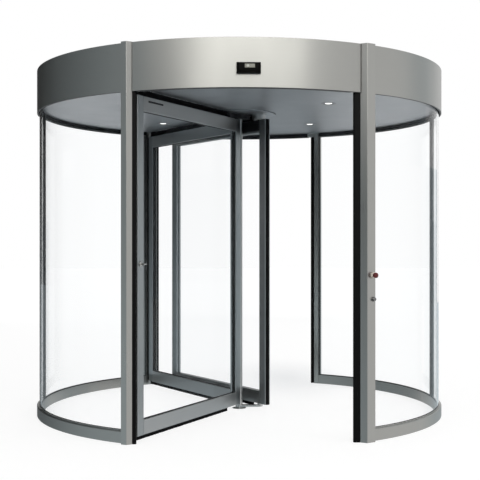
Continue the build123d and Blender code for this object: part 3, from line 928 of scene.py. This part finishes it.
# %% The emergency stop
collar = turned("stop_collar_ring", [(0, 0.019), *crown(0.009, 0.019, 0.003, 0.003),
                                     (0.012, 0.0085), (0.0115, 0.0076), (0.003, 0.0076)])
stand(collar, seat_of("stop_base", press_axis), press_axis)
fitted(rounded(collar, 0.0004), "enclosure", stop_collar, "stop_collar", "stop_base")
button_seat = seat_of("stop_button", press_axis)
button = turned("stop_mushroom", [
    (0, 0.007), (0.009, 0.007), (0.009, 0.0150), (0.0094, 0.0162), (0.0102, 0.0168),
    (0.0160, 0.0170), (0.0162, 0.0166), (0.0166, 0.0166), (0.0168, 0.0170),
    *crown(0.0200, 0.0170, 0.0070, 0.0090), (0.0270, 0.0001)])
stand(button, button_seat, press_axis)
fitted(rounded(button, 0), body_of("stop_button"), stop_red, "stop_red", "stop_button")
print("stop button", [round(part, 4) for part in button_seat])

# %% The key switch
KEY_FACE = 0.0146  # height of the barrel's face, which has the slit
KEYHOLE = (0.011, 0.0024, 0.008)
key = turned("key_barrel", [
    (0, 0.015), *crown(0.0045, 0.015, 0.0015, 0.0015), (0.006, 0.0122), (0.0056, 0.0121),
    (0.0056, 0.0118), *crown(0.0138, 0.0118, 0.0012, 0.0012), (0.015, 0.0092),
    (KEY_FACE, 0.0088), (KEY_FACE, 0.0001)])
cutter = begin("cutter", bpy.ops.mesh.primitive_cube_add, size=1, location=(0, 0, KEY_FACE))
close_edit()
cutter.scale = KEYHOLE
slit = key.modifiers.new("slit", "BOOLEAN")
slit.object = cutter
slit.solver = "EXACT"
apply_all(key)
bpy.data.objects.remove(cutter)
stand(key, seat_of("key_switch", press_axis), press_axis)
fitted(rounded(key, 0.0003, angle=50), "enclosure", key_metal, "lock_metal", "key_switch")
print("key switch", len(key.data.polygons), "faces")

# %% The wing lock's turns, one on each side
locks = []
front_wing = wings[0]
for side in (1, -1):
    normal = Vector((-front_wing.along.y, front_wing.along.x, 0)) * side
    rose = turned("rose", [(0, 0.020), *crown(0.004, 0.020, 0.002, 0.002), (0.006, 0.0095),
                           (0.0070, 0.0075), (0.0280, 0.0075), (0.0280, 0.0001)])
    grip = sheet_start("grip", 0.034, 0.0096)
    lift(0.010)
    bpy.ops.transform.resize(value=(0.86, 0.72, 1), center_override=(0, 0, 0.010))
    close_edit()
    settle(outwards(grip), (0, 0, 0.0278))
    locks.append(stand(rounded(joined("lock", [rose, rounded(grip, 0.0014, 3)]), 0),
                       seat_of("wing_lock", normal, 0.001), normal))
fitted(joined("wing_lock_turns", locks), front_wing.body, lock_metal, "lock_metal", "wing_lock")
print("lock turns on", front_wing.body)

# %% Downlights
DEPTH = 0.030  # how far a downlight is let into the ceiling
LENS_FOOT = 0.0225
RIM_STEPS = [(0, 0.0440), (DEPTH, 0.0440), (DEPTH, 0.0520),
             *crown(0.0312, 0.0520, 0.0018, 0.0030), (0.0330, 0.0450), (0.0322, 0.0425),
             (0.0290, 0.0400), (0.0240, 0.0300), (0.0220, 0.0260)]
LENS_STEPS = [(LENS_FOOT, 0.0240), (DEPTH, 0.0240), (0.0318, 0.0220), (0.0326, 0.0150),
              (0.0329, 0.0080), (0.0330, 0.0001)]

rims, lenses = [], []
for east in (1, -1):
    for north in (1, -1):
        spots = [vertex.co for vertex in nodes["downlights"].data.vertices
                 if vertex.co.x * east > 0 and vertex.co.y * north > 0]
        middle = Vector((sum(spot.x for spot in spots) / len(spots),
                         sum(spot.y for spot in spots) / len(spots), ceiling_foot + DEPTH))
        for group, name, steps in ((rims, "rim", RIM_STEPS), (lenses, "lens", LENS_STEPS)):
            top = middle - Vector((0, 0, steps[0][0]))
            group.append(rounded(settle(turned(name, steps), top, (radians(180), 0, 0)), 0))
fitted(joined("downlight_rims", rims), "enclosure", lamp_trim, "lamp_trim", "downlights")
fitted(joined("downlight_lenses", lenses), "enclosure", lamp_glow, "lamp_trim", "downlights")
print("last downlight at", [round(part, 3) for part in middle])

# %% [markdown]
# ## Motion sensors
#
# Over each entrance sits a small black sensor with a bowed front, rounded
# corners and a smoked window. A cube with a heavy bevel would be rounded alike on
# all sides. Here a rectangle the size of the back plate is extruded out
# from the fascia in steps, and gets its bow from scaling the outer ones.
# The window and its eye are further, glossier pieces; the window's smoked grey is lighter than
# the housing, and the eye pale, as a painted highlight.

# %% A rectangle carried outwards
def stepped_out(name, width, height, reach, steps):
    """A rectangle carried outwards in steps, each smaller than the last."""
    piece = sheet_start(name, width, height)
    before, wide, tall = 0.0, 1.0, 1.0
    for next_wide, next_tall, share in steps:
        lift((share - before) * reach)
        bpy.ops.transform.resize(value=(next_wide / wide, next_tall / tall, 1),
                                 center_override=(0, 0, share * reach))
        before, wide, tall = share, next_wide, next_tall
    close_edit()
    return outwards(piece)


def corners_round(piece, radius):
    """Round only the edges that run out of the wall."""
    edit_all(piece)
    bpy.ops.mesh.select_all(action="DESELECT")
    close_edit()
    for edge in piece.data.edges:
        first, second = (piece.data.vertices[index].co for index in edge.vertices)
        edge.select = abs((first - second).normalized().z) > 0.25
    pick(piece)
    bpy.ops.object.mode_set(mode="EDIT")
    bpy.ops.mesh.select_mode(type="EDGE")
    bpy.ops.mesh.bevel(offset=radius, segments=6, affect="EDGES", clamp_overlap=True)
    bpy.ops.mesh.select_mode(type="VERT")
    close_edit()
    return piece


sensor_low, sensor_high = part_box("sensors")
sensor_tall = sensor_high.z - sensor_low.z
sensor_middle = (sensor_high.z + sensor_low.z) / 2
sensor_reach = sensor_high.y - drum - 0.0012  # the fascia falls back at its sides
print("sensors", round(sensor_tall, 3), "m tall, reach", round(sensor_reach, 4))

# %% Both sensors
SHELL_WIDTH, SHELL_CORNER = 0.148, 0.011
# steps: share of the width, share of the height, share of the reach
BOW = ((1.0, 1.0, 0.46), (0.99, 0.97, 0.66), (0.95, 0.90, 0.84), (0.86, 0.78, 0.95),
       (0.70, 0.60, 1.0))
WINDOW = (0.062, 0.024, 0.0014)  # width, height and reach
WINDOW_STEPS = ((1.0, 1.0, 0.5), (0.97, 0.88, 1.0))
EYE_STEPS = ((0, 0.0085), (0.0010, 0.0085), (0.0018, 0.0075), (0.0024, 0.0050),
             (0.0026, 0.0001))
SUNK = 0.0018  # how far the back plate is behind the drum's radius

shells, windows, eyes = [], [], []
for turn in (0, 180):
    shell = stepped_out("shell", SHELL_WIDTH, sensor_tall, sensor_reach, BOW)
    window = stepped_out("window", *WINDOW, WINDOW_STEPS)
    eye = turned("eye", EYE_STEPS, sides=28)
    corners_round(shell, SHELL_CORNER)
    settle(window, (0.006, 0.008, sensor_reach - 0.0006))
    settle(eye, (-0.006, 0.007, sensor_reach + 0.0004))
    for group, part, width in ((shells, shell, 0.0012), (windows, window, 0.0004),
                               (eyes, eye, 0)):
        settle(part, (0, SUNK - drum, sensor_middle), (radians(90), 0, 0))
        settle(part, turn=(0, 0, radians(turn)))
        group.append(rounded(part, width))
for name, group, material in (("sensor_shells", shells, sensor_plastic),
                              ("sensor_windows", windows, sensor_window),
                              ("sensor_eyes", eyes, sensor_eye)):
    piece = fitted(joined(name, group), "enclosure", material, "sensor_plastic", "sensors")
    print(name, len(piece.data.polygons), "faces")

# %% [markdown]
# ## Latch plate
#
# The front wing's top rail has the slot of the catch that holds it: a slim
# bright plate with a long dark slot. A Boolean cut would do, but an inset whose
# middle is pushed in leaves cleaner faces. The slot's floor is a second,
# black piece.

# %% A slotted plate on the top rail
PLATE = (0.188, 0.019)
RIM = 0.0031  # what is left of the plate all round the slot
plate = sheet_start("latch_plate", *PLATE)
lift(0.0016)
bpy.ops.mesh.inset(thickness=0.0030)
lift(-0.0012)
close_edit()
slot_floor = sheet_start("latch_slot", PLATE[0] - 2 * RIM, PLATE[1] - 2 * RIM)
lift(0.0004)
bpy.ops.mesh.inset(thickness=0.0012)
bpy.ops.transform.translate(value=(0, 0, -0.0003))
close_edit()

_, rail_end, _, frame_top = front_wing.reach("stiles")
latch_place = Vector((rail_end - 0.215, 0.0226, frame_top - 0.028))
for part, material, slot, step in ((plate, lock_metal, "lock_metal", 0.0),
                                   (slot_floor, black_metal, "black_metal", 0.0005)):
    settle(outwards(part), turn=(radians(-90), 0, 0))
    settle(part, latch_place + Vector((0, step, 0)))
    front_wing.fit(rounded(part, 0.0004), material, slot)
print("latch plate at", [round(part, 3) for part in latch_place])

# %% [markdown]
# ## Studio
#
# Metal is a mirror, so its picture is the room. The room is white; dark cards
# on the left and in front give the drum its shaded side, and a wide soft lamp
# above the camera makes the bright band in the middle. Real cards would also
# darken the room, so only a mirrored ray meets these, and the three shade
# cards only one that has passed the glass. Metal doesn't see the floor, as
# on a turntable shot against white.

# %% What kind of ray is looking
def direct(tree):
    """1 for rays of the camera, a mirror or glass, 0 for light that fills shade."""
    path = tree.nodes.new("ShaderNodeLightPath")
    share = Signal(tree, path.outputs["Is Camera Ray"])
    for kind in ("Is Glossy Ray", "Is Transmission Ray"):
        share = share.maths("MAXIMUM", share, Signal(tree, path.outputs[kind]))
    return share


def bounced(tree, kind="Glossy Depth"):
    """1 for rays that metal or glass has already mirrored, 0 for the rest."""
    path = tree.nodes.new("ShaderNodeLightPath")
    return Signal(tree, path.outputs[kind]).ramp(0.4, 0.6)


def clear_when(recipe, share):
    """Let a share of the rays pass straight through a stage piece."""
    recipe.split_surface(share, recipe.node("ShaderNodeBsdfTransparent"))


def stage_piece(piece, material):
    """Give a stage piece its material."""
    piece.data.materials.append(material)


print("helpers for rays and stage pieces")

# %% The floor
ground = Recipe("studio_floor", Roughness=0.9, Emission_Strength=0.81)
seen = direct(ground.tree)
# a soft ellipse behind the door dims the floor's emission: a painted shadow
spot = ground.node("ShaderNodeMapping", inputs={
    "Vector": ground.place, "Location": (-1.1, -1.5, 0), "Scale": (2.2, 0.9, 1)})
away = ground.node("ShaderNodeVectorMath", {"operation": "LENGTH"}, {"Vector": spot},
                   out="Value")
ground.set("Base Color", ground.blend(seen, (0.8, 0.8, 0.8, 1), (0.22, 0.22, 0.22, 1)))
ground.set("Emission Color", ground.blend(seen, (0, 0, 0, 1), ground.blend(
    away.ramp(0.1, 1.3), (0.82, 0.83, 0.84, 1), (1, 1, 1, 1))))
clear_when(ground, bounced(ground.tree))
floor = begin("studio_floor", bpy.ops.mesh.primitive_plane_add, size=80,
              location=(0, 0, -0.0004))
close_edit()
stage_piece(floor, ground.material)
floor.visible_glossy = False
print(floor.name, [round(side) for side in floor.dimensions], "m")

# %% The world
DIM = 0.62  # strength of the white room where it only fills shade
world = bpy.data.worlds.new("studio")
world.use_nodes = True
bpy.context.scene.world = world
sky = world.node_tree.nodes["Background"]
sky.inputs["Color"].default_value = (1, 1, 1, 1)
feed(world.node_tree, sky.inputs["Strength"], DIM + direct(world.node_tree) * (1 - DIM))
print("white room, at", DIM, "where it only fills shade")


# %% Lamps
def softbox(name, place, aim, size, power, tint=(1, 1, 1)):
    """A lamp as large as a soft box, seen in metal but not by the camera."""
    lamp = bpy.data.lights.new(name, "AREA")
    lamp.shape = "RECTANGLE"
    lamp.size, lamp.size_y = size
    lamp.energy = power
    lamp.color = tint
    holder = bpy.data.objects.new(name, lamp)
    holder.location = place
    holder.rotation_euler = (Vector(aim) - Vector(place)).to_track_quat("-Z", "Y").to_euler()
    holder.visible_camera = False
    holder.visible_transmission = False
    bpy.context.scene.collection.objects.link(holder)
    print(name, power, "W")
    return holder


softbox("front_softbox", (0.25, -9.5, 4.8), (0.2, 0, 2.2), (10.5, 3.0), 322, (1.0, 0.985, 0.94))
key_lamp = softbox("key_softbox", (7.0, -5.5, 6.0), (0, 0, 1.2), (3.0, 3.0), 120)
key_lamp.visible_glossy = False


# %% One card
CARD_GLOW = (0.88, 1.0, 1.06, 1)  # a card's colour at full level, a little cool
FAR, NEAR = 9.0, 8.8  # radii of the cards


def card_shape(name, start, stop, foot, top, radius):
    """An upright curved sheet round the door: a point, spun and then extruded."""
    card = sheet_start(name, 1, 1)
    bpy.ops.mesh.merge(type="CENTER")
    turn = radians(start)
    bpy.ops.transform.translate(value=(radius * sin(turn), -radius * cos(turn), foot))
    bpy.ops.mesh.spin(steps=24, angle=radians(start - stop), center=(0, 0, 0), axis=(0, 0, 1))
    bpy.ops.mesh.select_all(action="SELECT")
    lift(top - foot)
    close_edit()
    return card


def flag(name, start, stop, foot, top, level, inside_only=False):
    """A card from one drum angle to another; level is a number or works one out."""
    cloth = Recipe(name + "_cloth", Base_Color=(0.02, 0.02, 0.02, 1), Roughness=1.0,
                   Emission_Strength=1.0)
    share = level(cloth) if callable(level) else level
    cloth.set("Emission Color", cloth.blend(share, (0, 0, 0, 1), CARD_GLOW))
    shown = bounced(cloth.tree)
    if inside_only:
        shown = shown * bounced(cloth.tree, "Transmission Depth")
    clear_when(cloth, 1 - shown)
    card = card_shape(name, start, stop, foot, top, NEAR if inside_only else FAR)
    stage_piece(card, cloth.material)
    card.visible_camera = card.visible_diffuse = card.visible_shadow = False
    print(name, "from", start, "to", stop, "degrees")


# %% How the cards' greys run
def place_of(cloth, axis):
    return cloth.node("ShaderNodeSeparateXYZ", inputs={"Vector": cloth.place}, out=axis)


def left_side(cloth):
    """Grey in front and nearly black behind the door, brighter towards the floor."""
    away, height = place_of(cloth, "Y"), place_of(cloth, "Z")
    high = 0.46 - 0.40 * away.ramp(-6.0, 5.2) - 0.06 * away.ramp(3.5, 6.5)
    low = 0.76 - 0.30 * away.ramp(-5.0, 2.0) - 0.32 * away.ramp(1.5, 6.0)
    share = height.ramp(-1.0, 2.4)
    return high * share + low * (1 - share)


def front_side(cloth):
    """Nearly black at eye level, greyer below."""
    return 0.46 - 0.42 * place_of(cloth, "Z").ramp(-1.0, 2.8)


def inside_left(cloth):
    """What wings and rear posts mirror through the glass: dark above, grey below."""
    return 0.03 + 1.1 * (1 - place_of(cloth, "Z").ramp(-0.8, 0.9))


def inside_right(cloth):
    """The same for the right side, with a longer and fainter run."""
    return 0.16 + 0.62 * (1 - place_of(cloth, "Z").ramp(-0.9, 3.2))


print("greys for the left, the front and behind the glass")

# %% All the cards
flag("flag_left", -157, -48, -25.0, 18.0, left_side)
flag("flag_left_high", -180, -157, 3.5, 18.0, 0.005)
flag("flag_front", -48, 34, -8.0, 3.1, front_side)
flag("flag_right_high", 98, 118, 2.4, 9.0, 0.60)
flag("flag_right_low", 115, 150, -8.0, 0.3, 0.62)
flag("flag_right_mid", 112, 143, 0.3, 2.4, 0.55)
flag("flag_back", 168, 187, -8.0, 1.6, 0.34)
flag("shade_left", -75, -40, -8.0, 9.0, inside_left, True)
flag("shade_back", -150, -95, -8.0, 0.6, 0.48, True)
flag("shade_right", 5, 72, -8.0, 5.0, inside_right, True)
